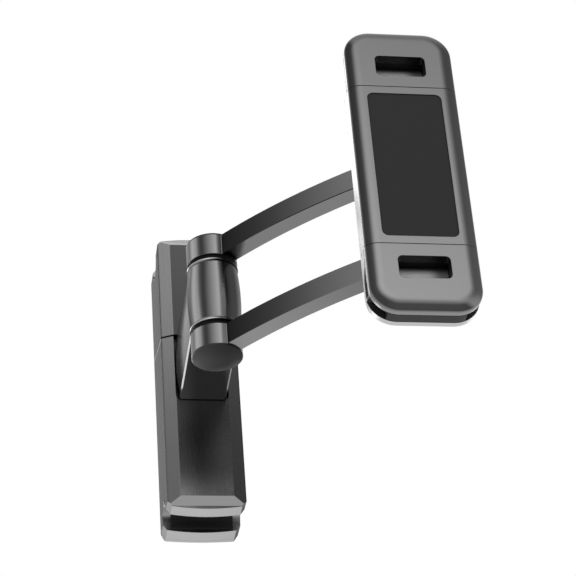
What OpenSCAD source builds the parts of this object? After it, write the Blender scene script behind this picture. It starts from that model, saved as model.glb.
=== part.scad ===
/* [Clamp] */
// Width of the clamp, along the headrest posts
clamp_w = 34; // [30:0.5:38]
// Depth of the clamp, from its front face to its back
clamp_d = 35.5; // [34:0.5:42]
// Distance between the two post axes with the clamp closed
post_span = 131.7; // [126:0.5:145]
// Radius of the headrest post that the mouths take
post_r = 6; // [5:0.25:7]
// Thickness of the rubber liner in each mouth
liner_t = 1.25; // [0.8:0.05:1.6]
// Width of the rubber liner
liner_w = 27; // [20:0.5:29]
// Straight lip beyond the post axis at each end
lip_l = 2.75; // [1.5:0.25:4]
// Outward bow of the lip ends
end_bow = 1.2; // [0.4:0.1:2]
// Width of the bevel along the long edges
side_bevel = 5.5; // [3:0.25:6]
// Width of the bevel along the short edges
end_bevel = 3.5; // [2:0.25:5]
// Depth of the front bevels
bevel_d = 2.5; // [1.5:0.1:2.6]
// Chamfer along the edges of the clamp's back
back_bevel = 1.2; // [0.5:0.1:1.5]
// Cut across the corners of the front bevels
corner_cut = 2; // [1:0.1:2.5]
// Chamfer at the corners of the lips
lip_chamfer = 1.9; // [1:0.1:3]
// Wall of the clamp's shells
shell_wall = 3; // [2.7:0.1:3.4]
// Height of the seam above the bracket's foot
seam_over_foot = 0.6; // [0.4:0.1:3]
// Rise of the seam from the front of the side wall to its back
seam_rise = 7.5; // [0:0.5:10]
// Space beyond the heads of the guide rods when the clamp is closed
rod_gap = 2.6; // [1.6:0.1:10]
// Play between the lower half and the rail that it slides on
slide_play = 0.3; // [0.2:0.05:0.4]

/* [Rail] */
// Width of the box rail inside the clamp
rail_w = 22.4; // [20:0.2:23]
// Wall of the box rail
rail_wall = 2.6; // [2:0.1:3]
// Distance of the rail's lower end from the mouth block
rail_gap = 1.6; // [1:0.1:4]
// Radius of the guide rods
rod_r = 2; // [1.5:0.1:2.2]
// Half the distance between the guide rods
rod_x = 4.4; // [4.2:0.1:4.6]
// Mean radius of the push springs
push_spring_r = 3; // [2.8:0.1:3.2]
// Wire diameter of the push springs
push_wire = 0.9; // [0.6:0.1:1]

/* [Hinges] */
// Height of the hinges above the clamp's middle
hinge_z = -1.2; // [-3:0.2:-1]
// Distance of the hinge axis from the clamp's front face
hinge_reach = 53.1; // [46:0.5:60]
// Radius of the knuckles on the arms
knuckle_r = 10.75; // [10:0.25:12]
// Radius of the hinge barrels at their ends
barrel_r = 10.6; // [10:0.1:11.5]
// Bulge of the hinge barrels at the middle
barrel_bulge = 0.8; // [0:0.1:1.2]
// Height of the hinge barrels
barrel_h = 29.3; // [26:0.5:34]
// Radius of the hinge pins
pin_r = 3; // [2.5:0.1:3.5]
// Running clearance of the pins and the swivel bolt in their bores
pin_play = 0.06; // [0.03:0.01:0.1]
// Thickness of the bright steel rings
ring_t = 0.6; // [0.4:0.1:1]
// Thickness of the dark friction washers
washer_t = 2.2; // [1.5:0.1:3]
// Radius of the dark friction washers
washer_r = 9.6; // [8:0.1:10]
// Play between a ring and its washer
face_play = 0.1; // [0.05:0.05:0.2]
// Thickness of the end caps
cap_t = 0.8; // [0.5:0.1:1.5]

/* [Bracket] */
// Width of the bracket at its upper and lower edges
bracket_edge_w = 20.4; // [18:0.2:20.8]
// Width of the bracket at mid height
bracket_w = 22.6; // [21:0.2:22.8]
// How much taller the bracket's foot is than its barrel
foot_flare = 3.5; // [1:0.1:4]
// Chamfer along the bracket's long edges
bracket_chamfer = 0.6; // [0.4:0.1:1.2]

/* [Arms] */
// Distance between the two hinge axes
arm_span = 93.3; // [80:0.5:110]
// Swing of the arms from straight sideways, in degrees
arm_angle = -44.4; // [-60:0.2:-30]
// Height of each arm
arm_h = 9.8; // [8:0.2:12]
// Thickness of each arm
arm_t = 7.8; // [6:0.2:10]
// Bow of the arms at mid span
arm_bow = 3.6; // [1:0.2:6]

/* [Swivel] */
// Distance from the far hinge axis to the holder's back
holder_reach = 22.6; // [21:0.2:28]
// Radius of the neck behind the holder
neck_r = 8.5; // [7:0.25:9.5]
// Radius of the flange behind the holder
flange_r = 14; // [12:0.5:16]
// Thickness of the flange
flange_t = 3; // [2:0.25:4]
// Thickness of the friction disc between flange and holder
disc_t = 1.1; // [0.8:0.1:1.6]
// Radius of the swivel bolt's head
bolt_head_r = 5.2; // [4.6:0.1:5.8]

/* [Holder] */
// Width of the holder
holder_w = 44; // [42:0.1:48]
// Length of the holder's middle section
middle_l = 76.4; // [72:0.4:82]
// Radius of the holder's four corners
corner_r = 11.2; // [10:0.2:13]
// Width of the rounded front edge
edge_w = 5.7; // [4.8:0.1:6]
// Depth of the rounded front edge
edge_d = 3.4; // [3.2:0.1:4.4]
// Thickness of the front shells
front_t = 4.5; // [4.5:0.1:5]
// Space between the front and the back shells
slot_t = 5; // [5:0.1:6]
// Thickness of the back shells
back_t = 2.5; // [2:0.1:3]
// Slit along each side of the jaws, under their front shells
side_slit = 0.5; // [0.3:0.1:1]
// Gap at each seam of the holder
seam_gap = 0.3; // [0.2:0.05:0.5]
// Side wall of the middle section
side_wall = 2.25; // [1.8:0.05:2.5]
// How far each jaw pulls out
jaw_travel = 30; // [20:1:32]
// Play around everything that slides in the holder
holder_play = 0.3; // [0.2:0.05:0.4]

/* [Rubber pad] */
// Width of the rubber pad
pad_w = 30.1; // [28:0.1:31]
// Distance of the rubber pad from each end of the middle section
pad_margin = 3.5; // [3.2:0.1:5.2]
// Depth of the pad's recess
pad_recess = 1.3; // [1:0.1:1.6]
// Thickness of the rubber pad
pad_t = 1; // [0.6:0.1:1.2]
// Radius of the pad's corners
pad_corner = 2.6; // [1:0.2:4]

/* [Finger windows and claws] */
// Width of each finger window
window_w = 20.5; // [18:0.5:21]
// Height of each finger window
window_h = 10.2; // [9:0.2:10.4]
// Distance of the window from the seam
window_from_seam = 5.4; // [5.2:0.1:5.6]
// Radius of the window's corners
window_corner = 2; // [1:0.25:3]
// Width of each claw
claw_w = 30.3; // [29.5:0.1:30.5]
// Length of each claw's hook
hook_l = 6.65; // [5:0.05:8]
// How far each claw pulls out of its jaw
claw_travel = 12.4; // [9:0.2:12.4]
// Radius of the claw pins
claw_pin_r = 1; // [0.8:0.1:1.2]

/* [Screws] */
// Radius of the cover and shell screws
screw_r = 1.25; // [1:0.05:1.4]
// Radius of their heads
screw_head_r = 2.3; // [2:0.1:2.5]
// Radius of the bracket's screws
foot_screw_r = 2; // [1.6:0.1:2.2]

/* [Hidden] */

metal = [0.42, 0.42, 0.43];
dark_metal = [0.30, 0.30, 0.31];
steel = [0.75, 0.75, 0.76];
black_plastic = [0.13, 0.13, 0.13];
rubber = [0.10, 0.10, 0.10];

round_fn = 96;
arc_steps = 12;
big = 400;

mouth_r = post_r + liner_t;
clamp_half = post_span / 2 + lip_l;
front_y = -clamp_d / 2;
back_y = clamp_d / 2;
block_z = post_span / 2 - mouth_r - shell_wall;
foot_h = barrel_h + foot_flare;
seam_z = hinge_z + foot_h / 2 + seam_over_foot;
cavity_w = clamp_w - 2 * (shell_wall - 0.6);
cover_t = shell_wall;
rail_front = front_y + shell_wall;
rail_back = back_y - cover_t;
stop_wall_t = 3;
rod_head_t = 3;
rod_sink = 2;

ring_r = barrel_r + 0.3;
washer_z = barrel_h / 2 + ring_t + face_play;
arm_z = washer_z + washer_t;
stack_h = arm_z + arm_h;
cap_stub = 1.6;
hinge_y = front_y - hinge_reach;
far_x = arm_span * cos(arm_angle);
far_y = hinge_y + arm_span * sin(arm_angle);
bow_r = pow(arm_span, 2) / (8 * arm_bow) + arm_bow / 2;

holder_t = back_t + slot_t + front_t;
slot_z = back_t + slot_t;
middle_half = middle_l / 2 - seam_gap / 2;
jaw_start = middle_l / 2 + seam_gap / 2;
inner_half = holder_w / 2 - side_wall;
rib_x = bolt_head_r + 1.2;
rib_t = 1.2;
tongue_x = rib_x + rib_t + holder_play;
tongue_w = inner_half - 1.9 - tongue_x;
tongue_mid = tongue_x + tongue_w / 2;
tongue_tip = 8;
bar_half = inner_half - 0.4;
window_start = jaw_start + window_from_seam;
window_end = window_start + window_h;
claw_start = window_end + 0.8;
claw_pin_y = claw_start + 3.8;
leg_w = 4.1;
leg_outer = claw_w / 2;
leg_start = window_start;
channel_half = leg_outer + holder_play;
lug_w = 0.8;
lug_l = 2;
claw_t = slot_t - 2 * holder_play;
jaw_end = claw_pin_y + claw_t / 2 + holder_play + hook_l;
guide_end = jaw_end - 8;
pad_l = middle_l - 2 * pad_margin;
hook_pivot_w = 2 * (leg_outer - leg_w) - 2 * holder_play;
pull_spring_r = 1.9;
pull_wire = 0.6;

// The clamp's parts are drawn about the middle of the closed clamp
module in_clamp() translate([0, 0, -post_span / 2]) children();

// The near hinge parts are drawn about the middle of the near hinge axis
module at_near() in_clamp() translate([0, hinge_y, hinge_z]) children();

// The arms are drawn along X from the near hinge axis
module along_arm() at_near() rotate([0, 0, arm_angle]) children();

// The far hinge parts are drawn about the middle of the far hinge axis
module at_far() in_clamp() translate([far_x, far_y, hinge_z]) children();

// The holder is drawn lying on its back, with its front towards +Z and its length along Y
module in_holder() at_far() translate([0, -holder_reach, 0]) rotate([90, 0, 0]) children();

// Turns the top jaw's parts into the bottom jaw's parts
module bottom_end() rotate([0, 0, 180]) children();

module along_x(length) rotate([90, 0, 90]) linear_extrude(height = length, center = true) children();
module along_y(length) rotate([90, 0, 0]) linear_extrude(height = length, center = true) children();

// Section across the clamp, with a bevel at each corner
module clamp_section() {
    w = clamp_w / 2;
    polygon([
        [-w, front_y + bevel_d], [side_bevel - w, front_y], [w - side_bevel, front_y],
        [w, front_y + bevel_d], [w, back_y - back_bevel], [w - back_bevel, back_y],
        [back_bevel - w, back_y], [-w, back_y - back_bevel]
    ]);
}

// Side view of the clamp: bevelled front and back edges at both ends
module clamp_profile() {
    tip = clamp_half + end_bow;
    straight = clamp_half - end_bevel;
    back = tip - back_bevel;
    polygon([
        [front_y, -straight], [front_y + bevel_d, -clamp_half], [front_y + bevel_d, -tip],
        [back_y - back_bevel, -tip], [back_y, -back], [back_y, back], [back_y - back_bevel, tip],
        [front_y + bevel_d, tip], [front_y + bevel_d, clamp_half], [front_y, straight]
    ]);
}

// Front view of the clamp's front bevel: straight ends and cut corners
module bevel_outline() {
    w = clamp_w / 2;
    h = clamp_half;
    c = corner_cut;
    polygon([
        [w, h - c], [w - c, h], [c - w, h], [-w, h - c],
        [-w, c - h], [c - w, -h], [w - c, -h], [w, c - h]
    ]);
}

// Front view of the clamp behind its front bevel: bowed ends and cut corners
module clamp_outline() {
    w = clamp_w / 2;
    run = w - lip_chamfer;
    arc_r = (pow(run, 2) + pow(end_bow, 2)) / (2 * end_bow);
    half_arc = asin(run / arc_r);
    top = [for (i = [0 : arc_steps]) let (a = half_arc * (1 - 2 * i / arc_steps))
        [arc_r * sin(a), clamp_half + end_bow - arc_r * (1 - cos(a))]];
    bottom = [for (p = top) [-p[0], -p[1]]];
    shoulder = clamp_half - lip_chamfer * 1.3;
    polygon(concat([[w, shoulder]], top, [[-w, shoulder], [-w, -shoulder]], bottom, [[w, -shoulder]]));
}

module clamp_form() {
    tip = clamp_half + end_bow;
    intersection() {
        linear_extrude(height = 2 * tip, center = true) clamp_section();
        along_x(clamp_w) clamp_profile();
        union() {
            translate([0, front_y + bevel_d / 2, 0]) along_y(bevel_d) bevel_outline();
            translate([0, bevel_d / 2, 0]) along_y(clamp_d - bevel_d) clamp_outline();
        }
    }
}

// Everything above the seam between the halves, lifted by a gap
module above_seam(gap = 0) {
    wall_y = front_y + bevel_d;
    z = seam_z + gap;
    along_x(big) polygon([
        [-big, z], [wall_y, z], [-wall_y, z + seam_rise], [big, z + seam_rise], [big, big], [-big, big]
    ]);
}

module below_seam() {
    wall_y = front_y + bevel_d;
    along_x(big) polygon([
        [-big, seam_z], [wall_y, seam_z], [-wall_y, seam_z + seam_rise], [big, seam_z + seam_rise],
        [big, -big], [-big, -big]
    ]);
}

// Open half-round mouth for a post, at the end given by side (1 above, -1 below)
module mouth(side) {
    translate([0, 0, side * post_span / 2]) rotate([0, 90, 0])
        cylinder(h = clamp_w + 2, r = mouth_r, center = true, $fn = round_fn);
    depth = lip_l + end_bow + 1;
    translate([-clamp_w / 2 - 1, -mouth_r, side > 0 ? post_span / 2 : -post_span / 2 - depth])
        cube([clamp_w + 2, 2 * mouth_r, depth]);
}

// Cavity of the closed clamp, with play around the rail where asked
module cavity(play) {
    y0 = rail_front - play;
    translate([-cavity_w / 2, y0, -block_z]) cube([cavity_w, rail_back + play - y0, 2 * block_z]);
}

boss_w = (cavity_w - rail_w) / 2 - 0.5;
boss_x = cavity_w / 2 - boss_w / 2;
boss_h = 6;
end_screw_x = 9;
end_screw_z = post_span / 2 - 4;
upper_boss_z = seam_z + seam_rise + 8;
lower_boss_z = -20;
boss_screw_r = 0.9;
boss_head_r = 1.7;
screw_l = 9;
head_t = 1.4;

// Hexagonal socket in a screw's head
module socket(head) translate([0, 0, -1]) cylinder(h = 1.8, r = head * 0.5, $fn = 6);

// Screw driven in from the clamp's back, with its flat head level with the cover
module cover_screw(x, z, r, head, driven) {
    translate([x, back_y, z]) rotate([90, 0, 0]) difference() {
        union() {
            cylinder(h = screw_l, r = r, $fn = 24);
            cylinder(h = head_t, r1 = head, r2 = r, $fn = 32);
        }
        if (driven) socket(head);
    }
}

module cover_screw_set(side, boss_z, driven = false) {
    for (s = [-1, 1]) {
        cover_screw(s * end_screw_x, side * end_screw_z, screw_r, screw_head_r, driven);
        cover_screw(s * boss_x, boss_z, boss_screw_r, boss_head_r, driven);
    }
}

module half_bosses(boss_z) {
    for (s = [-1, 1])
        translate([s * boss_x - boss_w / 2 - (s < 0 ? 0.5 : 0), rail_front, boss_z - boss_h / 2])
            cube([boss_w + 0.5, rail_back - rail_front, boss_h]);
}

module upper_shell_form() {
    difference() {
        intersection() {
            clamp_form();
            above_seam(0.15);
            translate([-big / 2, -big, -big / 2]) cube([big, big + rail_back, big]);
        }
        difference() {
            cavity(0);
            half_bosses(upper_boss_z);
        }
        mouth(1);
        cover_screw_set(1, upper_boss_z);
    }
}

// Slot in the lower half's front that clears the bracket's foot
module foot_slot() {
    half = clamp_w / 2 - side_bevel + 0.15;
    low = hinge_z - foot_h / 2 - slide_play;
    r = 3;
    along_y_slot = shell_wall + 1;
    translate([0, front_y + along_y_slot / 2 - 0.5, 0]) along_y(along_y_slot) {
        translate([-half, low + r]) square([2 * half, big]);
        translate([-half + r, low]) square([2 * half - 2 * r, r + 1]);
        for (s = [-1, 1]) translate([s * (half - r), low + r]) circle(r = r, $fn = round_fn);
    }
}

module lower_shell_form() {
    difference() {
        intersection() {
            clamp_form();
            below_seam();
            translate([-big / 2, -big, -big / 2]) cube([big, big + rail_back + slide_play, big]);
        }
        difference() {
            cavity(slide_play);
            half_bosses(lower_boss_z);
        }
        foot_slot();
        mouth(-1);
        cover_screw_set(-1, lower_boss_z);
        rod_places() cylinder(h = rod_sink + 1, r = rod_r, center = false, $fn = 48);
    }
}

module upper_shell() color(metal) in_clamp() upper_shell_form();
module lower_shell() color(metal) in_clamp() lower_shell_form();

module cover_form(play) {
    intersection() {
        clamp_form();
        translate([-big / 2, rail_back + play, -big / 2]) cube([big, cover_t, big]);
        children();
    }
}

module upper_cover() color(metal) in_clamp() difference() {
    cover_form(0) above_seam(0.15);
    mouth(1);
    cover_screw_set(1, upper_boss_z);
    rail_screw_set();
}

module lower_cover() color(metal) in_clamp() difference() {
    cover_form(slide_play) below_seam();
    mouth(-1);
    cover_screw_set(-1, lower_boss_z);
}

module upper_cover_screws() color(steel) in_clamp() cover_screw_set(1, upper_boss_z, true);
module lower_cover_screws() color(steel) in_clamp() cover_screw_set(-1, lower_boss_z, true);

// U-shaped section: half a circle with straight sides that go on by reach
module u_section(r, reach) {
    circle(r = r, $fn = round_fn);
    translate([-r, 0]) square([2 * r, reach]);
}

// Rubber strip bent round the inside of a mouth
module liner(side) {
    reach = lip_l - 0.5;
    rotate([side > 0 ? 0 : 180, 0, 0]) translate([0, 0, post_span / 2]) along_x(liner_w) difference() {
        u_section(mouth_r, reach);
        u_section(post_r, big);
        translate([-mouth_r, reach]) square([2 * mouth_r, mouth_r]);
    }
}

module upper_liner() color(rubber) in_clamp() liner(1);
module lower_liner() color(rubber) in_clamp() liner(-1);

stop_z = 2;
rail_low = -block_z + rail_gap;

// Where the guide rods start, in the lower mouth block
module rod_places() {
    for (s = [-1, 1]) translate([s * rod_x, 0, -block_z - rod_sink]) children();
}

module box_rail() color(dark_metal) in_clamp() difference() {
    translate([-rail_w / 2, rail_front, rail_low])
        cube([rail_w, rail_back - rail_front, block_z - rail_low]);
    inner_w = rail_w - 2 * rail_wall;
    inner_d = rail_back - rail_front - 2 * rail_wall;
    stop_top = stop_z + stop_wall_t;
    translate([-inner_w / 2, rail_front + rail_wall, rail_low - 1])
        cube([inner_w, inner_d, stop_z - rail_low + 1]);
    translate([-inner_w / 2, rail_front + rail_wall, stop_top])
        cube([inner_w, inner_d, block_z]);
    rod_places() cylinder(h = big, r = rod_r + slide_play, $fn = 48);
    rail_screw_set();
    foot_screw_set();
}

rod_head_z = block_z - rod_gap - rod_head_t;
clamp_travel = rod_head_z - stop_z - stop_wall_t;

module guide_rods() color(steel) in_clamp() {
    for (s = [-1, 1]) translate([s * rod_x, 0, 0]) {
        translate([0, 0, -block_z - rod_sink])
            cylinder(h = rod_head_z + block_z + rod_sink, r = rod_r, $fn = 48);
        translate([0, 0, rod_head_z]) cylinder(h = rod_head_t, r = rod_r + 1.2, $fn = 48);
    }
}

// Wire wound as a helix from z = 0 to z = h
module coil(r, wire, h, turns, sides = 5, per_turn = 9) {
    n = turns * per_turn;
    pitch = (h - wire) / turns;
    lead = atan(pitch / (2 * PI * r));
    ring = function(i) let (a = 360 * i / per_turn, z = wire / 2 + (h - wire) * i / n)
        [for (k = [0 : sides - 1]) let (b = 360 * k / sides, u = wire / 2 * cos(b), v = wire / 2 * sin(b))
            [(r + u) * cos(a) + v * sin(lead) * sin(a),
             (r + u) * sin(a) - v * sin(lead) * cos(a),
             z + v * cos(lead)]];
    points = [for (i = [0 : n]) each ring(i)];
    walls = [for (i = [0 : n - 1], k = [0 : sides - 1]) let (m = (k + 1) % sides)
        [i * sides + k, (i + 1) * sides + k, (i + 1) * sides + m, i * sides + m]];
    ends = [[for (k = [0 : sides - 1]) k], [for (k = [sides - 1 : -1 : 0]) n * sides + k]];
    polyhedron(points = points, faces = concat(walls, ends), convexity = 10);
}

module push_springs() color(steel) in_clamp() {
    gap = 0.2;
    for (s = [-1, 1]) translate([s * rod_x, 0, gap - block_z])
        coil(push_spring_r, push_wire, stop_z + block_z - 2 * gap, 12);
}

rail_screw_z = 40;

module rail_screw_set(driven = false) {
    for (s = [-1, 1]) translate([s * 5, back_y, rail_screw_z]) rotate([90, 0, 0]) difference() {
        union() {
            cylinder(h = cover_t + rail_wall + 1, r = screw_r, $fn = 24);
            cylinder(h = head_t, r1 = screw_head_r, r2 = screw_r, $fn = 32);
        }
        if (driven) socket(screw_head_r);
    }
}

module rail_screws() color(steel) in_clamp() rail_screw_set(true);

foot_screw_z = 9;
foot_screw_l = 12;
foot_head_t = 2.4;

// Screws from inside the rail, through its front wall into the bracket's foot
module foot_screw_set() {
    for (s = [-1, 1]) translate([0, rail_front + rail_wall, hinge_z + s * foot_screw_z]) {
        rotate([90, 0, 0]) cylinder(h = foot_screw_l, r = foot_screw_r, $fn = 32);
        rotate([-90, 0, 0]) cylinder(h = foot_head_t, r = foot_screw_r * 1.8, $fn = 48);
    }
}

module bracket_screws() color(steel) in_clamp() foot_screw_set();

// Section across the bracket: bulging sides and chamfered upper edges
module bracket_section() {
    edge = bracket_edge_w / 2;
    bulge = (bracket_w - bracket_edge_w) / 2;
    half = foot_h / 2;
    c = bracket_chamfer;
    low = -1.3 * half;
    side = [for (i = [0 : arc_steps]) let (z = low + (half - c - low) * i / arc_steps)
        [edge + bulge * (1 - pow(z / half, 2)), z]];
    other = [for (i = [arc_steps : -1 : 0]) [-side[i][0], side[i][1]]];
    polygon(concat(side, [[edge - c, half], [c - edge, half]], other));
}

// Turned barrel with a slight bulge and chamfered rims
module barrel() {
    c = 0.8;
    h = barrel_h / 2;
    side = [for (i = [0 : arc_steps]) let (t = 2 * i / arc_steps - 1)
        [barrel_r + barrel_bulge * (1 - t * t), t * (h - c)]];
    rim = barrel_r - c;
    rotate_extrude($fn = round_fn) polygon(concat([[0, -h], [rim, -h]], side, [[rim, h], [0, h]]));
}

// Web from the rail to the barrel: two mirrored prisms that close in towards the barrel
module bracket_web() {
    tilt = atan((foot_h - barrel_h) / 2 / (hinge_reach - ring_r - 0.3));
    reach = hinge_reach + shell_wall;
    intersection() {
        translate([-bracket_w, hinge_y, hinge_z - foot_h]) cube([2 * bracket_w, reach, 2 * foot_h]);
        intersection_for(s = [0, 1]) translate([0, front_y, hinge_z]) mirror([0, 0, s])
            rotate([tilt, 0, 0]) along_y(3 * reach) bracket_section();
    }
}

module bracket() color(metal) in_clamp() difference() {
    union() {
        bracket_web();
        translate([0, hinge_y, hinge_z]) barrel();
    }
    translate([0, hinge_y, hinge_z])
        cylinder(h = barrel_h + 2, r = pin_r + pin_play, center = true, $fn = round_fn);
    foot_screw_set();
}

module hinge_pin() cylinder(h = 2 * (stack_h - cap_stub - 0.2), r = pin_r, center = true, $fn = round_fn);

module hinge_rings() {
    for (s = [0, 1]) mirror([0, 0, s]) translate([0, 0, barrel_h / 2]) difference() {
        cylinder(h = ring_t, r = ring_r, $fn = round_fn);
        translate([0, 0, -1]) cylinder(h = ring_t + 2, r = pin_r + pin_play, $fn = round_fn);
    }
}

module hinge_washers() {
    for (s = [0, 1]) mirror([0, 0, s]) translate([0, 0, washer_z]) difference() {
        cylinder(h = washer_t, r = washer_r, $fn = round_fn);
        translate([0, 0, -1]) cylinder(h = washer_t + 2, r = pin_r, $fn = round_fn);
    }
}

module hinge_caps() {
    c = 0.3;
    for (s = [0, 1]) mirror([0, 0, s]) translate([0, 0, stack_h]) {
        cylinder(h = cap_t - c, r = knuckle_r, $fn = round_fn);
        translate([0, 0, cap_t - c]) cylinder(h = c, r1 = knuckle_r, r2 = knuckle_r - c, $fn = round_fn);
        translate([0, 0, -cap_stub]) cylinder(h = cap_stub, r = pin_r, $fn = round_fn);
    }
}

module near_pin() color(steel) at_near() hinge_pin();
module near_rings() color(steel) at_near() hinge_rings();
module near_washers() color(black_plastic) at_near() hinge_washers();
module near_caps() color(dark_metal) at_near() hinge_caps();
module far_pin() color(steel) at_far() hinge_pin();
module far_rings() color(steel) at_far() hinge_rings();
module far_washers() color(black_plastic) at_far() hinge_washers();
module far_caps() color(dark_metal) at_far() hinge_caps();

// One cast arm: two knuckles joined by a bowed bar, bored for both pins
module arm() {
    linear_extrude(height = arm_h) difference() {
        union() {
            circle(r = knuckle_r, $fn = round_fn);
            translate([arm_span, 0]) circle(r = knuckle_r, $fn = round_fn);
            intersection() {
                translate([arm_span / 2, bow_r - arm_bow]) difference() {
                    circle(r = bow_r + arm_t / 2, $fn = 720);
                    circle(r = bow_r - arm_t / 2, $fn = 720);
                }
                translate([0, -arm_bow - arm_t]) square([arm_span, arm_bow + 2 * arm_t]);
            }
        }
        circle(r = pin_r, $fn = round_fn);
        translate([arm_span, 0]) circle(r = pin_r, $fn = round_fn);
    }
}

module upper_arm() color(metal) along_arm() translate([0, 0, arm_z]) arm();
module lower_arm() color(metal) along_arm() translate([0, 0, -arm_z - arm_h]) arm();

flange_back = -disc_t - face_play - flange_t;
bolt_l = 12;

// Far barrel with the neck and flange that carry the holder
module swivel_neck() color(metal) at_far() difference() {
    union() {
        barrel();
        translate([0, -holder_reach, 0]) rotate([90, 0, 0]) {
            translate([0, 0, -holder_reach])
                cylinder(h = holder_reach + flange_back, r = neck_r, $fn = round_fn);
            translate([0, 0, flange_back]) cylinder(h = flange_t, r = flange_r, $fn = round_fn);
            translate([0, 0, flange_back - 2])
                cylinder(h = 2, r1 = neck_r, r2 = neck_r + 2, $fn = round_fn);
        }
    }
    cylinder(h = barrel_h + 2, r = pin_r + pin_play, center = true, $fn = round_fn);
    translate([0, -holder_reach, 0]) rotate([90, 0, 0]) translate([0, 0, -bolt_l])
        cylinder(h = bolt_l, r = pin_r, $fn = round_fn);
}

module swivel_disc() color(black_plastic) in_holder() translate([0, 0, -face_play - disc_t]) difference() {
    cylinder(h = disc_t, r = flange_r - 1, $fn = round_fn);
    translate([0, 0, -1]) cylinder(h = disc_t + 2, r = pin_r, $fn = round_fn);
}

washer_spring_t = 0.9;
bolt_head_z = back_t + face_play + washer_spring_t;
bolt_head_t = slot_t - face_play - washer_spring_t - 0.6;

module swivel_bolt() color(steel) in_holder() {
    translate([0, 0, -bolt_l]) cylinder(h = bolt_l + bolt_head_z, r = pin_r, $fn = round_fn);
    translate([0, 0, bolt_head_z]) difference() {
        cylinder(h = bolt_head_t, r = bolt_head_r, $fn = round_fn);
        translate([0, 0, bolt_head_t - 1.6]) cylinder(h = 2, r = 2.5, $fn = 6);
    }
}

module spring_washer() color(steel) in_holder() translate([0, 0, back_t + face_play]) difference() {
    cylinder(h = washer_spring_t, r = bolt_head_r, $fn = round_fn);
    translate([0, 0, -1]) cylinder(h = washer_spring_t + 2, r = pin_r + pin_play, $fn = round_fn);
}

module rounded_rect(w, l, r) {
    for (sx = [-1, 1], sy = [-1, 1]) translate([sx * (w / 2 - r), sy * (l / 2 - r)]) circle(r = r, $fn = 48);
    square([w - 2 * r, l], center = true);
    square([w, l - 2 * r], center = true);
}

// The front edge is rounded by two arcs that meet where the slope is 3 to 4
edge_s = 0.6;
edge_c = 0.8;
flat_r = 2 * edge_w - edge_d;
side_r = 1.5 * edge_d - 0.5 * edge_w;

// Section of a front shell at its edge: corner_r wide, with the outer front corner rounded
module edge_section() {
    flat_end = corner_r - edge_w;
    meet = flat_end + flat_r * edge_s;
    square([flat_end, front_t]);
    square([corner_r, front_t - edge_d]);
    intersection() {
        translate([flat_end, front_t - flat_r]) circle(r = flat_r, $fn = 2 * round_fn);
        translate([flat_end, 0]) square([meet - flat_end, front_t]);
    }
    intersection() {
        translate([corner_r - side_r, front_t - edge_d]) circle(r = side_r, $fn = round_fn);
        translate([meet, 0]) square([corner_r - meet, front_t]);
    }
}

// Section of the middle section's front shell, with its two side walls
module middle_front_section() {
    core = holder_w / 2 - corner_r;
    translate([0, slot_z]) {
        for (s = [0, 1]) mirror([s, 0]) translate([core, 0]) edge_section();
        translate([-core, 0]) square([2 * core, front_t]);
    }
    for (s = [0, 1]) mirror([s, 0]) {
        translate([inner_half, back_t]) square([side_wall, slot_t]);
        translate([rib_x, back_t]) square([rib_t, slot_t]);
    }
}

middle_screw_y = [7.05 - middle_half, 19.05 - middle_half, middle_half - 19.05, middle_half - 7.05];
middle_boss_r = 3;
anchor_r = 1.5;
anchor_y = middle_half - 3.5;

module middle_front() color(metal) in_holder() difference() {
    union() {
        rotate([90, 0, 0]) linear_extrude(height = 2 * middle_half, center = true) middle_front_section();
        for (y = middle_screw_y) translate([0, y, back_t]) cylinder(h = slot_t, r = middle_boss_r, $fn = 48);
        for (s = [-1, 1]) translate([s * tongue_mid, -s * anchor_y, back_t])
            cylinder(h = slot_t, r = anchor_r, $fn = 32);
    }
    translate([0, 0, holder_t - pad_recess]) linear_extrude(height = pad_recess + 1)
        rounded_rect(pad_w, pad_l, pad_corner);
    middle_screw_set();
}

// Plate with chamfered long back edges
module back_section() {
    w = holder_w / 2;
    c = 1;
    polygon([[-w, back_t], [-w, c], [c - w, 0], [w - c, 0], [w, c], [w, back_t]]);
}

module middle_back() color(metal) in_holder() difference() {
    rotate([90, 0, 0]) linear_extrude(height = 2 * middle_half, center = true) back_section();
    translate([0, 0, -1]) cylinder(h = back_t + 2, r = pin_r + pin_play, $fn = round_fn);
    middle_screw_set();
}

module rubber_pad() color(rubber) in_holder() translate([0, 0, holder_t - pad_recess])
    linear_extrude(height = pad_t) rounded_rect(pad_w - 0.2, pad_l - 0.2, pad_corner);

module shell_screw(l, r, head, driven) difference() {
    union() {
        cylinder(h = l, r = r, $fn = 24);
        cylinder(h = head_t, r1 = head, r2 = r, $fn = 32);
    }
    if (driven) socket(head);
}

module middle_screw_set(driven = false) for (y = middle_screw_y)
    translate([0, y, 0]) shell_screw(back_t + slot_t + 1.5, screw_r, screw_head_r, driven);

module middle_screws() color(steel) in_holder() middle_screw_set(true);

// Outline of a jaw: straight at the seam, round at both outer corners
module jaw_outline() {
    core = holder_w / 2 - corner_r;
    translate([-holder_w / 2, jaw_start]) square([holder_w, jaw_end - corner_r - jaw_start]);
    translate([-core, jaw_start]) square([2 * core, jaw_end - jaw_start]);
    for (s = [-1, 1]) translate([s * core, jaw_end - corner_r]) circle(r = corner_r, $fn = round_fn);
}

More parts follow.
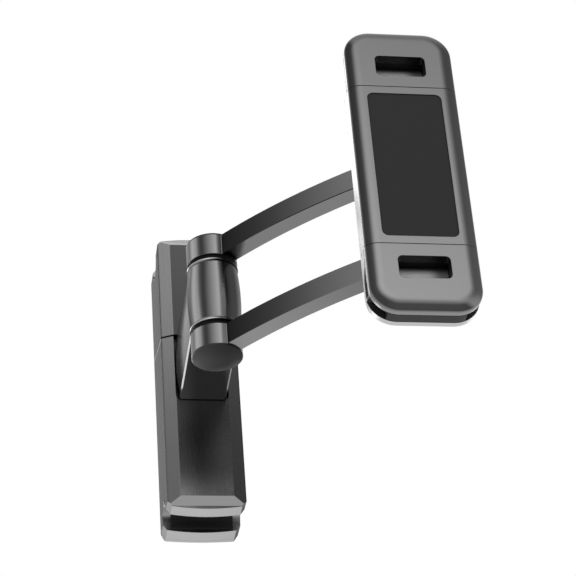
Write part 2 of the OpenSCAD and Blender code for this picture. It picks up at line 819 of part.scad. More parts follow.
// Front shell of a jaw: one edge section carried along both sides and round both corners
module jaw_front_form() {
    core = holder_w / 2 - corner_r;
    corner_y = jaw_end - corner_r;
    side_l = corner_y - jaw_start;
    difference() {
        translate([0, 0, slot_z]) {
            for (s = [0, 1]) mirror([s, 0, 0]) {
                translate([core, jaw_start + side_l, 0]) rotate([90, 0, 0])
                    linear_extrude(height = side_l) edge_section();
                translate([core, corner_y, 0]) rotate_extrude(angle = 90, $fn = round_fn) edge_section();
            }
            translate([-core, corner_y, 0]) rotate([90, 0, 90])
                linear_extrude(height = 2 * core) edge_section();
            translate([-core, jaw_start, 0]) cube([2 * core, side_l, front_t]);
        }
        translate([0, (window_start + window_end) / 2, 0])
            linear_extrude(height = holder_t + 1) rounded_rect(window_w, window_h, window_corner);
        jaw_screw_set();
    }
}

side_wall_end = jaw_end - 9;

// Back shell of a jaw: a plate with a wall along each side
module jaw_back_form() {
    difference() {
        union() {
            intersection() {
                linear_extrude(height = back_t) jaw_outline();
                translate([0, jaw_end, 0]) rotate([90, 0, 0]) linear_extrude(height = jaw_end) back_section();
            }
            intersection() {
                linear_extrude(height = slot_z - side_slit) jaw_outline();
                for (s = [0, 1]) mirror([s, 0, 0]) translate([inner_half, jaw_start, 0])
                    cube([side_wall, side_wall_end - jaw_start, slot_z]);
                translate([-big / 2, 0, back_t]) cube(big);
            }
        }
        jaw_screw_set();
    }
}

jaw_bar_h = window_from_seam - 0.8;
jaw_screw_x = tongue_mid + 1;

module jaw_screw_set(driven = false) for (s = [-1, 1]) {
    translate([s * jaw_screw_x, jaw_start + jaw_bar_h / 2, 0]) shell_screw(slot_z + 2, 1, 1.9, driven);
    translate([s * (channel_half + bar_half) / 2, guide_end - 3, 0])
        shell_screw(slot_z + 2, 0.7, 1.3, driven);
}

// Slide of a jaw: a long tongue, the bar that joins the shells, and the claw's two guides
module jaw_slide_form() {
    guide_w = bar_half - channel_half;
    tongue_t = slot_t - 2 * holder_play;
    difference() {
        union() {
            translate([-bar_half, jaw_start, back_t]) cube([2 * bar_half, jaw_bar_h, slot_t]);
            for (s = [0, 1]) mirror([s, 0, 0]) translate([channel_half, jaw_start, back_t])
                cube([guide_w, guide_end - jaw_start, slot_t]);
            translate([tongue_x, -tongue_tip, back_t + holder_play])
                cube([tongue_w, jaw_start + tongue_tip + 1, tongue_t]);
        }
        for (s = [0, 1]) mirror([s, 0, 0])
            translate([channel_half - 1, leg_start - holder_play, back_t + slot_t / 2 - 1.2])
                cube([1 + lug_w, claw_travel + lug_l + 2 * holder_play, 2.4]);
        jaw_screw_set();
    }
}

// Claw frame: two legs with stop lugs, joined by a bar, and bored for the claw's pin
module claw_frame_form() {
    leg_inner = leg_outer - leg_w;
    z0 = back_t + holder_play;
    eye_r = claw_t / 2;
    difference() {
        union() {
            for (s = [0, 1]) mirror([s, 0, 0]) {
                translate([leg_inner, leg_start, z0]) cube([leg_w, claw_pin_y - leg_start, claw_t]);
                translate([leg_inner, claw_pin_y, z0 + eye_r]) rotate([0, 90, 0])
                    cylinder(h = leg_w, r = eye_r, $fn = 48);
                translate([leg_outer - 0.5, leg_start, z0 + eye_r - 0.9]) cube([0.5 + lug_w, lug_l, 1.8]);
            }
            translate([-leg_outer, claw_start, z0]) cube([2 * leg_outer, 1.1, claw_t]);
        }
        claw_pin_form(0);
    }
}

// Claw hook: a plate that turns on the pin and ends level with the jaw
module claw_hook_form() {
    z0 = back_t + holder_play;
    eye_r = claw_t / 2;
    shoulder_y = claw_pin_y + eye_r + holder_play;
    difference() {
        union() {
            translate([-hook_pivot_w / 2, claw_pin_y, z0 + eye_r]) rotate([0, 90, 0])
                cylinder(h = hook_pivot_w, r = eye_r, $fn = 48);
            translate([-hook_pivot_w / 2, claw_pin_y, z0])
                cube([hook_pivot_w, shoulder_y - claw_pin_y + 1, claw_t]);
            intersection() {
                translate([-claw_w / 2, shoulder_y, z0]) cube([claw_w, jaw_end - shoulder_y, claw_t]);
                linear_extrude(height = holder_t) jaw_outline();
            }
        }
        claw_pin_form(0);
    }
}

module claw_pin_form(grow) translate([0, claw_pin_y, back_t + slot_t / 2]) rotate([0, 90, 0])
    cylinder(h = claw_w - 0.4, r = claw_pin_r + grow, center = true, $fn = 32);

// Tension spring from the tongue's tip to its anchor in the middle section
module pull_spring_form() {
    gap = 0.2;
    l = anchor_y - anchor_r - tongue_tip - 2 * gap;
    translate([tongue_mid, -tongue_tip - gap, back_t + slot_t / 2]) rotate([90, 0, 0])
        coil(pull_spring_r, pull_wire, l, 12);
}

module top_jaw_front() color(metal) in_holder() jaw_front_form();
module top_jaw_back() color(metal) in_holder() jaw_back_form();
module top_jaw_slide() color(black_plastic) in_holder() jaw_slide_form();
module top_jaw_screws() color(steel) in_holder() jaw_screw_set(true);
module top_spring() color(steel) in_holder() pull_spring_form();
module top_claw_frame() color(black_plastic) in_holder() claw_frame_form();
module top_claw_hook() color(black_plastic) in_holder() claw_hook_form();
module top_claw_pin() color(steel) in_holder() claw_pin_form(0);

module bottom_jaw_front() color(metal) in_holder() bottom_end() jaw_front_form();
module bottom_jaw_back() color(metal) in_holder() bottom_end() jaw_back_form();
module bottom_jaw_slide() color(black_plastic) in_holder() bottom_end() jaw_slide_form();
module bottom_jaw_screws() color(steel) in_holder() bottom_end() jaw_screw_set(true);
module bottom_spring() color(steel) in_holder() bottom_end() pull_spring_form();
module bottom_claw_frame() color(black_plastic) in_holder() bottom_end() claw_frame_form();
module bottom_claw_hook() color(black_plastic) in_holder() bottom_end() claw_hook_form();
module bottom_claw_pin() color(steel) in_holder() bottom_end() claw_pin_form(0);

upper_shell();
upper_cover();
upper_liner();
lower_shell();
lower_cover();
lower_liner();
box_rail();
guide_rods();
push_springs();
upper_cover_screws();
lower_cover_screws();
rail_screws();
bracket();
bracket_screws();
near_pin();
near_rings();
near_washers();
near_caps();
upper_arm();
lower_arm();
far_pin();
far_rings();
far_washers();
far_caps();
swivel_neck();
swivel_disc();
swivel_bolt();
spring_washer();
middle_front();
middle_back();
rubber_pad();
middle_screws();
top_jaw_front();
top_jaw_back();
top_jaw_slide();
top_jaw_screws();
top_spring();
top_claw_frame();
top_claw_hook();
top_claw_pin();
bottom_jaw_front();
bottom_jaw_back();
bottom_jaw_slide();
bottom_jaw_screws();
bottom_spring();
bottom_claw_frame();
bottom_claw_hook();
bottom_claw_pin();
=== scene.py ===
import math

import bpy
from mathutils import Matrix, Vector


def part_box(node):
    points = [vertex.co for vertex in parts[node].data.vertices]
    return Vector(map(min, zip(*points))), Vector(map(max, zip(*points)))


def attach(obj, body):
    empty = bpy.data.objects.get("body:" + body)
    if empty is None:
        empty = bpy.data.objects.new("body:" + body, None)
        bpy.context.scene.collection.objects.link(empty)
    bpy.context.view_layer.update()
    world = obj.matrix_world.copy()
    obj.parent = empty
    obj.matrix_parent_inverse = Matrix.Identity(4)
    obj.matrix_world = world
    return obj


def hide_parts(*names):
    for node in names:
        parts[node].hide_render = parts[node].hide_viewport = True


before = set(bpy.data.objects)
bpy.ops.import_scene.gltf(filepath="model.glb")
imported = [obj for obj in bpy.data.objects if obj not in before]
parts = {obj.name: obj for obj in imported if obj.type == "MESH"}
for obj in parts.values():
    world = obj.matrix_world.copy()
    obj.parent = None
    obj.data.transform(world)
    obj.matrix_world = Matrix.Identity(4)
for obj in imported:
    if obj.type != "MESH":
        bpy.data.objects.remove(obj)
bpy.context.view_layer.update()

# --- The clamp's two halves ---------------------------------------------------
# Each half is an aluminium shell with a flat cover screwed on behind it. They are
# milled with flat bevels, brushed along the clamp and anodised dark grey. Their light and
# shade is painted into the colour: the front nearly black with painted patches of light,
# the bevels and the cut ends painted paler where they would catch the light, and the faces
# inside painted nearly black as shade.


class Field:
    """A number that changes over a surface. Arithmetic on it adds Math nodes."""

    def __init__(self, tree, socket):
        self.tree, self.socket = tree, socket

    def maths(self, operation, *others):
        return self.tree.node("ShaderNodeMath", {"operation": operation}, [self, *others])

    def __add__(self, other):
        return self.maths("ADD", other)

    def __sub__(self, other):
        return self.maths("SUBTRACT", other)

    def __rsub__(self, other):
        return self.tree.node("ShaderNodeMath", {"operation": "SUBTRACT"}, [other, self])

    def __mul__(self, other):
        return self.maths("MULTIPLY", other)

    def __truediv__(self, other):
        return self.maths("DIVIDE", other)

    def __abs__(self):
        return self.maths("ABSOLUTE")

    __radd__ = __add__
    __rmul__ = __mul__

    def axis(self, name):
        return self.tree.node("ShaderNodeSeparateXYZ", {}, [self], name)

    def step(self, start, end):
        """0 at start and before it, 1 at end and after it, and a soft step between."""
        soft = {"interpolation_type": "SMOOTHSTEP"}
        limits = {"Value": self, "From Min": start, "From Max": end}
        return self.tree.node("ShaderNodeMapRange", soft, limits, "Result")

    def about(self, middle, full, gone):
        """1 as far as full on both sides of the middle, and 0 from gone outwards."""
        return abs(self - middle).step(gone, full)

    def curve(self, stops):
        """Straight lines through (reading, height) pairs, for heights from 0 to 2."""
        low, high = stops[0][0], stops[-1][0]
        marks = [((reading - low) / (high - low), height / 2) for reading, height in stops]
        share = (self - low) / (high - low)
        return 2 * self.tree.node("ShaderNodeValToRGB", {"stops": marks}, [share])

    def noise(self, scale, detail, stretch=(1, 1, 1)):
        spot = self.tree.node("ShaderNodeMapping", {}, {"Vector": self, "Scale": stretch})
        sizes = {"Vector": spot, "Scale": scale, "Detail": detail}
        return self.tree.node("ShaderNodeTexNoise", {}, sizes)


class Tree:
    """A tree of nodes that is being built, for a material, a shape or the studio's light."""

    def __init__(self, tree):
        self.tree = tree
        tree.nodes.clear()

    def node(self, kind, settings, sockets, result=0):
        """Adds a node, with its settings before its sockets, and gives the output named result."""
        made = self.tree.nodes.new(kind)
        for name, setting in settings.items():
            if name == "stops":
                marks = made.color_ramp.elements
                while len(marks) < len(setting):
                    marks.new(0.5)
                for mark, (place, height) in zip(marks, setting):
                    mark.position, mark.color = place, (height, height, height, 1)
            else:
                setattr(made, name, setting)
        named = sockets if isinstance(sockets, dict) else dict(enumerate(sockets))
        for name, value in named.items():
            if isinstance(value, Field):
                self.tree.links.new(value.socket, made.inputs[name])
            else:
                made.inputs[name].default_value = value
        if made.outputs:
            return Field(self, made.outputs[result])


def between(mask, off, on):
    """Off where the mask is 0, and on where it is 1."""
    return off + (on - off) * mask


def turn(field):
    """Which way a direction points, seen from above, in degrees from the right-hand side."""
    return field.axis("Y").maths("ARCTAN2", field.axis("X")).maths("DEGREES")


# Every finish shares these: the scale of the grain, how far the grain changes the roughness,
# how deep it is, and how much bluer than neutral the grey is.
grain_scale, grain_roughness, grain_depth, cool = 2500, 0.02, 0.0001, 1.005


def surface(
        name, tone, roughness, metallic=1.0, edge=0.0003, grain=0.02, brush=None, bump=0.05,
        **plain):
    """A material. Tone and metallic are numbers, or functions of the place and the normal.

    Edge is the radius to which edges look rounded, and brush is a function that gives brush
    marks for the grain. Plain are the shader's sockets that hold one value all over.
    """
    material = bpy.data.materials.new(name)
    material.use_nodes = True
    tree = Tree(material.node_tree)
    place = tree.node("ShaderNodeTexCoord", {}, {}, "Object")
    normal = tree.node("ShaderNodeTexCoord", {}, {}, "Normal")
    speck = brush(place, normal) if brush else place.noise(grain_scale, 2)
    tone = tone(place, normal) if callable(tone) else tone
    grey = tone * between(speck, 1 - grain, 1 + grain)
    rounded = tree.node("ShaderNodeBevel", {"samples": 4}, {"Radius": edge})
    shader = tree.node("ShaderNodeBsdfPrincipled", {}, {
        "Base Color": tree.node("ShaderNodeCombineColor", {}, [grey, grey, grey * cool]),
        "Metallic": metallic(place, normal) if callable(metallic) else metallic,
        "Roughness": between(speck, roughness - grain_roughness, roughness + grain_roughness),
        "Normal": tree.node("ShaderNodeBump", {}, {
            "Strength": bump, "Distance": grain_depth, "Height": speck, "Normal": rounded}),
        **plain,
    }, "BSDF")
    tree.node("ShaderNodeOutputMaterial", {}, {"Surface": shader})
    return material


def dress(material, *names):
    for name in names:
        parts[name].data.materials.clear()
        parts[name].data.materials.append(material)


def sheen(amount):
    """How much of a metal's usual sheen stays where it is seen edge on."""
    return {"Specular Tint": (amount, amount, amount, 1)}


# Places on the clamp, in metres. Its front looks to -Y, and Z is 0 on the upper post's axis.
clamp_middle = -0.06585
front_foot = -0.1310  # the lower edge of the flat front
bevel_back = -0.01525  # where the front bevels end, at the sides and at a ledge at each end
bevel_line = 0.0166  # a darker line along the side bevels starts here, next to the side
seam_height, seam_rise = -0.0500, 0.0075  # its height in front, and its rise along the sides
# The seam's pale edge is a painted highlight.
seam_edge = 0.0006  # how far below the seam its pale edge lies
# Painted patches of light, from where each starts to where it is full: up the upper half's front,
# down to the foot of the lower half's, and down and across to its lower left corner.
upper_patch = (-0.055, 0.0)
foot_patch = (front_foot + 0.020, front_foot + 0.002)
left_patch = (front_foot + 0.062, front_foot + 0.045)
left_patch_across = (-0.001, -0.0095)
brush_scale, brush_stretch = 1300, 0.015


def level_face(normal):
    """1 on faces that look up or down, and 0 on the upright ones."""
    return abs(normal.axis("Z")).step(0.4, 0.6)


def side_face(normal):
    return abs(normal.axis("X")).step(0.9, 0.97)


def seam_highlight(place, normal):
    """A painted highlight just below the seam, which rises along the sides."""
    rise = (1 - place.axis("Y") / bevel_back) * (seam_rise / 2)
    height = place.axis("Z") - rise
    return height.about(seam_height - seam_edge, 0.0005, 0.0010) * side_face(normal)


def clamp_tone(place, normal):
    """Painted light and shade by face: the sides first, and then each line paints one more group
    of faces over them.
    """
    height = place.axis("Z")
    top = height.step(front_foot, 0.0)
    forwards = normal.axis("Y").step(-0.5, -0.6)
    front = normal.axis("Y").step(-0.95, -0.99)
    end = abs(normal.axis("Z")).step(0.85, 0.95)
    # the side bevels, painted paler towards the top as light, with a darker line near the side,
    # and the sides, painted darker as shade
    line = abs(place.axis("X")).step(bevel_line - 0.0002, bevel_line) * forwards
    bevels = between(line, between(top, 0.235, 0.45), 0.2)
    tone = between(side_face(normal), bevels, 0.09)
    # the end bevels and the ends, painted paler as light, a dark outline round the lower end, and
    # what lies inside, painted nearly black as shade
    tone = between(level_face(normal), tone, 0.5)
    tone = between(end, tone, 0.9)
    outline = place.axis("Y").about(bevel_back, 0.0003, 0.0005) * end * top.step(0.1, 0.0)
    tone = between(outline, tone, 0.15)
    inside = height.about(clamp_middle, 0.050, 0.055) * level_face(normal)
    tone = between(inside, tone, 0.01)
    # the flat front with its painted patches of light, and the narrow ledge above the upper end's
    # bevel, painted pale as a highlight
    foot = height.step(*foot_patch)
    left = place.axis("X").step(*left_patch_across) * height.step(*left_patch)
    face = between(foot * foot, between(height.step(*upper_patch), 0.082, 0.115), 0.19)
    face = face * between(left, 1.0, between(foot, 1.9, 1.5))
    ledge = place.axis("Y").step(bevel_back - 0.0008, bevel_back - 0.0003) * top.step(0.9, 1.0)
    tone = between(front, tone, between(ledge, face, 0.53))
    # the seam: its painted highlight on the sides, and a dark line along it in front
    tone = between(seam_highlight(place, normal), tone, 0.16)
    return between(height.about(seam_height, 0.00035, 0.00055) * forwards, tone, 0.01)


def clamp_metallic(place, normal):
    """Faces that look up are matt, so they show their painted light as colour, and the seam's
    painted highlight does so in part.
    """
    return 1 - normal.axis("Z").step(0.4, 0.6) - 0.3 * seam_highlight(place, normal)


def clamp_brush(place, normal):
    """Marks along the clamp, and across it on the faces that look up or down."""
    upright = place.noise(brush_scale, 3, (1, 1, brush_stretch))
    level = place.noise(brush_scale, 3, (brush_stretch, 1, 1))
    return between(level_face(normal), upright, level)


clamp_metal = surface(
    "clamp_metal", clamp_tone, 0.27, clamp_metallic, edge=0.0004, grain=0.08,
    brush=clamp_brush, **sheen(0.13))
dress(clamp_metal, "upper_shell", "lower_shell", "upper_cover", "lower_cover")

# --- Rubber liners --------------------------------------------------------------
# A strip of black rubber is glued round the inside of each mouth, where it grips the
# headrest post. It is moulded, with a dull and slightly grained skin.


def moulded(name, tone, roughness, shine):
    """Rubber or plastic as it comes out of its mould."""
    return surface(
        name, tone, roughness, metallic=0.0, grain=0.04, bump=0.1,
        **{"Specular IOR Level": shine})


liner_rubber = moulded("liner_rubber", 0.012, roughness=0.6, shine=0.35)
dress(liner_rubber, "upper_liner", "lower_liner")

# --- Rail, guide rods and push springs ------------------------------------------------
# The lower half slides on a rectangular steel tube that is blackened, and carries two bright
# steel rods. A spring of hard-drawn wire round each rod pushes the halves apart.

bright_steel = surface("bright_steel", 0.75, 0.2, edge=0.0001, grain=0.03)
rail_metal = surface("rail_metal", 0.1, 0.4, grain=0.03)
dress(rail_metal, "box_rail")
dress(bright_steel, "guide_rods")

# The tree that winds a row of springs, with its sizes as named inputs.
wire_group = bpy.data.node_groups.new("wound_wire", "GeometryNodeTree")
wire_group.interface.new_socket("Geometry", in_out="OUTPUT", socket_type="NodeSocketGeometry")
SPRING = {
    "Radius": "Float", "Wire": "Float", "Length": "Float", "Turns": "Float", "Count": "Int",
    "First": "Vector", "Last": "Vector", "Metal": "Material",
}
for name, kind in SPRING.items():
    wire_group.interface.new_socket(name, in_out="INPUT", socket_type="NodeSocket" + kind)
wire = Tree(wire_group)
given = {name: wire.node("NodeGroupInput", {}, {}, name) for name in SPRING}
helix = wire.node("GeometryNodeCurveSpiral", {}, {
    "Resolution": 24, "Rotations": given["Turns"], "Start Radius": given["Radius"],
    "End Radius": given["Radius"], "Height": given["Length"]})
section = wire.node("GeometryNodeCurvePrimitiveCircle", {}, {
    "Resolution": 10, "Radius": given["Wire"] * 0.5})
wound = wire.node("GeometryNodeCurveToMesh", {}, {
    "Curve": helix, "Profile Curve": section, "Fill Caps": True})
row = wire.node("GeometryNodeMeshLine", {"mode": "END_POINTS"}, {
    "Count": given["Count"], "Start Location": given["First"], "Offset": given["Last"]})
springs = wire.node("GeometryNodeInstanceOnPoints", {}, {"Points": row, "Instance": wound})
real = wire.node("GeometryNodeRealizeInstances", {}, {"Geometry": springs})
smooth = wire.node("GeometryNodeSetShadeSmooth", {}, {"Geometry": real})
steel = wire.node("GeometryNodeSetMaterial", {}, {"Geometry": smooth, "Material": given["Metal"]})
wire.node("NodeGroupOutput", {}, {"Geometry": steel})


def wind_springs(node, body, count, thickness, turns):
    """Springs in the place of a node of the model, whose box gives their sizes and place."""
    low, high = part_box(node)
    radius = (high.y - low.y - thickness) / 2
    middle = (low.y + high.y) / 2
    reach = radius + thickness / 2
    start = low.z + thickness / 2
    coils = bpy.data.objects.new(node + "_wound", bpy.data.meshes.new(node + "_wound"))
    bpy.context.scene.collection.objects.link(coils)
    modifier = coils.modifiers.new("wound_wire", "NODES")
    modifier.node_group = wire_group
    sizes = {
        "Radius": radius, "Wire": thickness, "Length": high.z - low.z - thickness,
        "Turns": float(turns), "Count": count, "First": Vector((low.x + reach, middle, start)),
        "Last": Vector((high.x - reach, middle, start)), "Metal": bright_steel,
    }
    for item in wire_group.interface.items_tree:
        if item.in_out == "INPUT":
            modifier[item.identifier] = sizes[item.name]
    bpy.context.view_layer.update()
    shape = coils.evaluated_get(bpy.context.evaluated_depsgraph_get())
    plain = bpy.data.meshes.new_from_object(shape)
    coils.modifiers.clear()
    coils.data = plain
    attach(coils, body)
    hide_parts(node)


wind_springs("push_springs", "clamp_upper", count=2, thickness=0.0009, turns=12)

# --- Bracket and near hinge -----------------------------------------------------------
# The bracket is milled from one block, a web that flares towards the clamp behind a turned
# barrel, and two screws hold it to the rail. The turned pin, the polished rings with their
# rims and the end caps make the hinge, and dark washers let the knuckles turn. Bands of
# reflection on the turned metal, a highlight on one side of each rim and the light and shade
# across the caps are painted into the colour.

# Where the axes of the two hinges stand, seen from above.
near_hinge = (0.0, -0.07085)
far_hinge = (0.06666, -0.136129)
halfway = far_hinge[0] / 2
cap_radius = 0.0108
web_start, web_full = 0.0108, 0.0113  # distances from the axis between barrel and web

# Painted reflections: turned metal is given bands of light and dark along the axis:
# (direction of the surface, tone).
TURNED_REFLECTIONS = [
    (-180, 0.07), (-172, 0.07), (-162, 0.52), (-153, 0.78), (-146, 0.95), (-139, 0.95),
    (-134, 0.75), (-129, 0.28), (-124, 0.12), (-119, 0.10), (-115, 0.125), (-106, 0.20),
    (-97, 0.30), (-91, 0.38), (-87, 0.42), (-83, 0.27), (-78, 0.20), (-69, 0.17), (-58, 0.30),
    (-45, 0.36), (-24, 0.60), (0, 0.34), (60, 0.5), (90, 0.3), (130, 0.45), (180, 0.07),
]
# A painted highlight on one side of a ring's thin rim: (direction from the axis, tone).
RIM_HIGHLIGHT = [
    (-180, 0.95), (-115, 0.95), (-98, 0.5), (-85, 0.15), (-60, 0.1), (-10, 0.1), (60, 0.4),
    (120, 0.8), (180, 0.95),
]
# Painted light and shade on the caps, darker from the back to the front and from the left to
# the right: (place, from -1 in front or on the left to 1 opposite, share of the tone).
CAP_SHADE_ALONG = [(-1, 0.4), (-0.5, 0.53), (0, 0.85), (0.5, 1.2), (1, 1.3)]
CAP_SHADE_ACROSS = [(-1, 2.0), (-0.5, 1.45), (0, 0.93), (0.4, 0.64), (1, 0.56)]


def turned_reflections(place, normal):
    """Painted reflection bands on what is turned, and an even grey on its flat ends."""
    return between(level_face(normal), turn(normal).curve(TURNED_REFLECTIONS), 0.42)


def from_hinge(place):
    """How far right of and behind the axis of the nearer hinge a place is."""
    far = place.axis("X").step(halfway, halfway + 0.0001)
    return (place.axis("X") - between(far, near_hinge[0], far_hinge[0]),
            place.axis("Y") - between(far, near_hinge[1], far_hinge[1]))


def distance(across, along):
    return (across * across + along * along).maths("SQRT")


def behind(along):
    """1 behind the axis, and 0 in front of it."""
    return along.step(0.0, 0.003)


# A painted highlight on one side of each ring's rim.
def rim_highlight(place, normal):
    across, along = from_hinge(place)
    return along.maths("ARCTAN2", across).maths("DEGREES").curve(RIM_HIGHLIGHT)


def cap_tone(place, normal):
    """Painted shade falling across the cap two ways, and a painted highlight on its rim behind."""
    across, along = from_hinge(place)
    tone = 0.15 * (along / cap_radius).curve(CAP_SHADE_ALONG) * (across / cap_radius).curve(CAP_SHADE_ACROSS)
    rim = distance(across, along).step(0.6 * cap_radius, cap_radius) * behind(along)
    return tone * between(rim, 1.0, between(across.step(-0.003, 0.003), 1.3, 2.2))


def bracket_tone(place, normal):
    """The barrel with painted reflection bands as turned metal, and the web behind it evenly grey.
    """
    across, along = from_hinge(place)
    web = distance(across, along).step(web_start, web_full) * behind(along)
    return between(web * (1 - level_face(normal)), turned_reflections(place, normal), 0.22)


hinge_metal = surface("hinge_metal", bracket_tone, 0.18, **sheen(0.33))
rim_metal = surface("rim_metal", rim_highlight, 0.2, edge=0.0001)
cap_metal = surface("cap_metal", cap_tone, 0.35, edge=0.0002, grain=0.03)
black_plastic = moulded("black_plastic", 0.008, roughness=0.45, shine=0.15)
dress(hinge_metal, "bracket")
dress(bright_steel, "near_pin")
dress(rim_metal, "near_rings")
dress(black_plastic, "near_washers")
dress(cap_metal, "near_caps")

# --- Arms ---------------------------------------------------------------------------------
# Two flat bars of the same grey metal, each milled with a round knuckle at both ends.
# The hinge pins join them, so they swing as one.

# Painted shade and light: their upright faces are painted darker towards the near hinge, and the
# lower arm's underside paler towards it: (distance from that hinge's axis, tone).
UPRIGHT_SHADE = [
    (0.0, 0.03), (0.012, 0.042), (0.0165, 0.056), (0.027, 0.089), (0.038, 0.133), (0.049, 0.202),
    (0.060, 0.286), (0.071, 0.352), (0.077, 0.378),
]
UNDERSIDE_LIGHT = [
    (0.0, 0.45), (0.018, 0.45), (0.030, 0.43), (0.049, 0.385), (0.060, 0.35), (0.071, 0.32),
    (0.085, 0.29),
]

upper_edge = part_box("upper_arm")[0].z
lower_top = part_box("lower_arm")[1].z
knuckle_radius = 0.0110
shade_start, shade_full = 0.0126, 0.0098  # the knuckle's shade under the upper arm, along X
line_start, line_full = 0.03, 0.05  # the dark line along that arm's lower edge


def arm_tone(place, normal):
    """Painted reflection bands round the knuckles, and painted light and shade that change along
    the bars.
    """
    near, far = [
        distance(place.axis("X") - x, place.axis("Y") - y) for x, y in (near_hinge, far_hinge)]
    height, level = place.axis("Z"), level_face(normal)
    lower = height.step(upper_edge, lower_top)
    shade = place.axis("X").step(shade_start, shade_full)
    below = between(lower, between(shade, 0.34, 0.09), near.curve(UNDERSIDE_LIGHT))
    bar = between(level, near.curve(UPRIGHT_SHADE), below)
    line = height.about(upper_edge, 0.0003, 0.0006) * near.step(line_start, line_full)
    bar = between(line * (1 - level), bar, 0.02)
    knuckle = near.maths("MINIMUM", far).step(knuckle_radius + 0.00005, knuckle_radius - 0.00005)
    return between(knuckle, bar, turned_reflections(place, normal))


arm_metal = surface("arm_metal", arm_tone, 0.2, **sheen(0.5))
dress(arm_metal, "upper_arm", "lower_arm")

# --- Far hinge and swivel --------------------------------------------------------------------
# The far hinge repeats the near one around the turned neck. The neck's flange bears on a
# dark plastic disc behind the holder, and a steel bolt with a spring washer holds it there.

dress(hinge_metal, "swivel_neck")
dress(bright_steel, "far_pin", "swivel_bolt", "spring_washer")
dress(rim_metal, "far_rings")
dress(black_plastic, "far_washers", "swivel_disc")
dress(cap_metal, "far_caps")

# --- Holder: shells and pad --------------------------------------------------------------
# The middle section and the two jaws are pressed aluminium shells, smooth and anodised,
# with a wide round edge. Their light and shade are painted into the colour: paler towards
# the foot, a painted dark reflection on the lower left of the round edge, painted highlights
# on the sides and painted shade on the walls of the recess and the windows. Through a jaw's
# finger window one sees the inner face of its back shell, painted dark as shade but for a
# painted patch of light above the window's lower edge. A thin sheet of soft black rubber is
# glued in a recess of the middle section.

holder_x, holder_z = 0.06666, -0.06705
# Half the width and half the length within which walls line the recess and the windows.
inner_x, inner_z = 0.016, 0.056
# The lower edge of each window, and how far above it the painted light on the back shell is full,
# fades and ends. It also fades to the right.
window_starts = (0.04375, -0.05395)
lit_full, lit_fades, lit_ends = 0.001, 0.0074, 0.0108
lit_across = (0.003, 0.0085)
# A painted dark strip in the lower jaw's side, the shade of a gap, widens from nothing towards the
# claw's slot.
shell_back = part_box("bottom_jaw_front")[1].y
gap_start, gap_end, gap_width = -0.0415, -0.0505, 0.0042


def shell_side(normal):
    return abs(normal.axis("X")).step(0.93, 0.98)


def shell_tone(place, normal):
    """Painted light and shade: paler towards the foot, a painted dark reflection on the lower left
    of the round edge, painted highlights on the sides, and painted shade on the walls of the
    recess and the windows.
    """
    across, along = place.axis("X") - holder_x, place.axis("Z") - holder_z
    bend = normal.axis("Y") + 1
    rounding = bend.step(0.004, 0.1) * bend.step(0.62, 0.27)
    away = (normal.axis("X") + normal.axis("Z")).step(-0.05, -0.3)
    tone = (0.3625 - along * 1.15) * between(rounding * away, 1.0, 0.22)
    tone = between(shell_side(normal), tone, 0.9)
    inside = abs(across).step(inner_x + 0.0005, inner_x)
    inside = inside * abs(along).step(inner_z + 0.0005, inner_z) * bend.step(0.4, 0.6)
    return between(inside, tone, 0.03)


def inner_face(place, normal):
    return normal.axis("Y").step(-0.9, -0.95)


def gap_shade(place, normal):
    along = place.axis("Z") - holder_z
    side = shell_side(normal) * along.step(gap_start, gap_start - 0.001)
    limit = shell_back + along.step(gap_start, gap_end) * gap_width
    return side * (limit - place.axis("Y")).step(0.0, 0.0002)


def back_tone(place, normal):
    """Pale outside, its own light silver with a painted highlight, and the painted shade of the
    gap; inside painted dark as shade but for a painted patch of light.
    """
    across, along = place.axis("X") - holder_x, place.axis("Z") - holder_z
    first, second = [
        along.step(start + lit_ends, start + lit_fades) * along.step(start, start + lit_full)
        for start in window_starts]
    lit = (first + second) * between(across.step(*lit_across), 1.0, 0.3)
    outside = between(gap_shade(place, normal), 0.9, 0.01)
    return between(inner_face(place, normal), outside, between(lit, 0.02, 0.95))


def side_highlight(place, normal):
    """The sides are less metallic, so that they show their painted pale highlight as colour."""
    return 1 - 0.7 * shell_side(normal)


def back_metallic(place, normal):
    return side_highlight(place, normal) + 0.7 * gap_shade(place, normal) - inner_face(place, normal)


shell_metal = surface("shell_metal", shell_tone, 0.3, side_highlight, edge=0.0002)
back_metal = surface("back_metal", back_tone, 0.35, back_metallic, edge=0.0002, grain=0.03)
dress(shell_metal, "middle_front", "top_jaw_front", "bottom_jaw_front")
dress(back_metal, "middle_back", "top_jaw_back", "bottom_jaw_back")
soft_rubber = moulded("soft_rubber", 0.022, roughness=0.6, shine=0.35)
dress(soft_rubber, "rubber_pad")

# --- Holder: slides, springs and claws -----------------------------------------------------
# Each jaw runs on a black plastic slide, which a fine tension spring draws back. A claw of
# tough black plastic pulls out of the jaw's end, and its hook folds on a steel pin.

claw_plastic = moulded("claw_plastic", 0.035, roughness=0.4, shine=0.35)
for end in ("top", "bottom"):
    dress(black_plastic, end + "_jaw_slide", end + "_claw_frame")
    dress(claw_plastic, end + "_claw_hook")
    dress(bright_steel, end + "_claw_pin")
    wind_springs(end + "_spring", "holder", count=1, thickness=0.0006, turns=12)

# --- Screws ----------------------------------------------------------------------------------
# Countersunk steel screws with a hexagon socket, blackened, hold the covers, the rail and
# the holder's back shells. Two with plain round heads hold the bracket from inside the rail.

dark_screw = surface("dark_screw", 0.12, 0.3, edge=0.0001, grain=0.03)
dress(
    dark_screw, "upper_cover_screws", "lower_cover_screws", "rail_screws", "bracket_screws",
    "middle_screws", "top_jaw_screws", "bottom_jaw_screws")

# --- Camera ------------------------------------------------------------------------------------
# It looks up at the object from below and a little from the left, with a long lens and
# from about 0.9 m away.

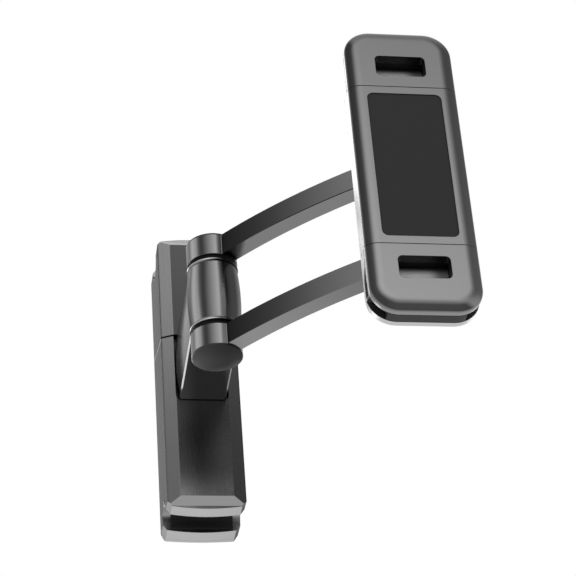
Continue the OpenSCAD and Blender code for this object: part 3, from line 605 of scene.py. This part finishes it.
heading, pitch, roll = math.radians(10.47), math.radians(33.66), math.radians(-4.61)
forward = Vector((
    math.sin(heading) * math.cos(pitch), math.cos(heading) * math.cos(pitch), math.sin(pitch)))
right = Vector((math.cos(heading), -math.sin(heading), 0))
up = right.cross(forward)
camera = bpy.data.objects.new("camera", bpy.data.cameras.new("camera"))
bpy.context.scene.collection.objects.link(camera)
camera.data.sensor_width = 36.0
camera.data.lens = 134.9
camera.data.clip_start = 0.01
camera.data.clip_end = 50.0
axes = Matrix((
    math.cos(roll) * right + math.sin(roll) * up,
    math.cos(roll) * up - math.sin(roll) * right,
    -forward))
camera_place = Vector((-0.107117, -0.824107, -0.569332))
camera.matrix_world = Matrix.Translation(camera_place) @ axes.transposed().to_4x4()
bpy.context.scene.camera = camera

# --- Floor and studio ------------------------------------------------------------------------
# The floor is plain and pale and lies below the camera. The object floats in front of a
# white room, with the dark screens and the soft lamps that its metal reflects.

bpy.ops.mesh.primitive_plane_add(size=12, location=(0, 0, -0.9))
floor = bpy.context.object
floor.name = "floor"
floor.visible_glossy = False
pale = bpy.data.materials.new("pale_floor")
pale.use_nodes = True
paint = Tree(pale.node_tree)
matt = paint.node(
    "ShaderNodeBsdfPrincipled", {}, {"Base Color": (0.8, 0.8, 0.8, 1), "Roughness": 0.9}, "BSDF")
paint.node("ShaderNodeOutputMaterial", {}, {"Surface": matt})
floor.data.materials.append(pale)

# Upright metal shows the camera, which looks up, a ring of the room above the object:
# (direction in degrees from the right-hand side, brightness). The rest is evenly grey.
ring_starts, ring_ends = (0.05, 0.30), (0.92, 0.76)
SIDES = [
    (-180, 0.30), (-168, 0.33), (-151, 0.40), (-142, 0.34), (-134, 0.45), (-126, 0.62),
    (-115, 0.78), (-104, 0.85), (-74, 0.86), (-66, 0.50), (-57, 0.17), (-48, 0.10), (-38, 0.10),
    (-28, 0.15), (0, 0.15), (11, 0.14), (25, 0.30), (45, 0.60), (70, 1.0), (82, 1.9),
    (116, 1.9), (125, 0.90), (135, 0.30), (146, 0.25), (158, 0.42), (168, 0.40), (180, 0.30),
]
# Lamps and screens over that, and later ones over earlier ones:
# (direction, angle to which it is full, angle at which it ends, brightness).
LAMPS = [
    ((0.15, -0.85, -0.50), 12, 34, 0.62),
    ((0.15, 0.82, -0.55), 25, 60, 0.62),
    ((0.15, 0.50, 0.86), 10, 25, 0.9),
    ((-0.54, 0.82, -0.14), 4, 12, 2.2),
    ((0.55, 0.82, 0.15), 4, 12, 1.4),
]

world = bpy.data.worlds.new("studio")
bpy.context.scene.world = world
world.use_nodes = True
studio = Tree(world.node_tree)
outwards = studio.node("ShaderNodeTexCoord", {}, {}, "Generated")
rise = outwards.axis("Z")
ring = rise.step(*ring_starts) * rise.step(*ring_ends)
light = between(ring, 0.45, turn(outwards).curve(SIDES))
for direction, inner, outer, brightness in LAMPS:
    facing = studio.node("ShaderNodeVectorMath", {"operation": "DOT_PRODUCT"}, [
        outwards, Vector(direction).normalized()], "Value")
    lamp = facing.step(math.cos(math.radians(outer)), math.cos(math.radians(inner)))
    light = between(lamp, light, brightness)
# Only reflections show that room. Matt surfaces get a plain light, and the camera sees white.
light = between(studio.node("ShaderNodeLightPath", {}, {}, "Is Glossy Ray"), 0.9, light)
light = between(studio.node("ShaderNodeLightPath", {}, {}, "Is Camera Ray"), light, 1.0)
white = studio.node("ShaderNodeCombineColor", {}, [light, light, light])
sky = studio.node("ShaderNodeBackground", {}, {"Color": white, "Strength": 1.0})
studio.node("ShaderNodeOutputWorld", {}, {"Surface": sky})

bpy.context.scene.view_settings.view_transform = "Standard"
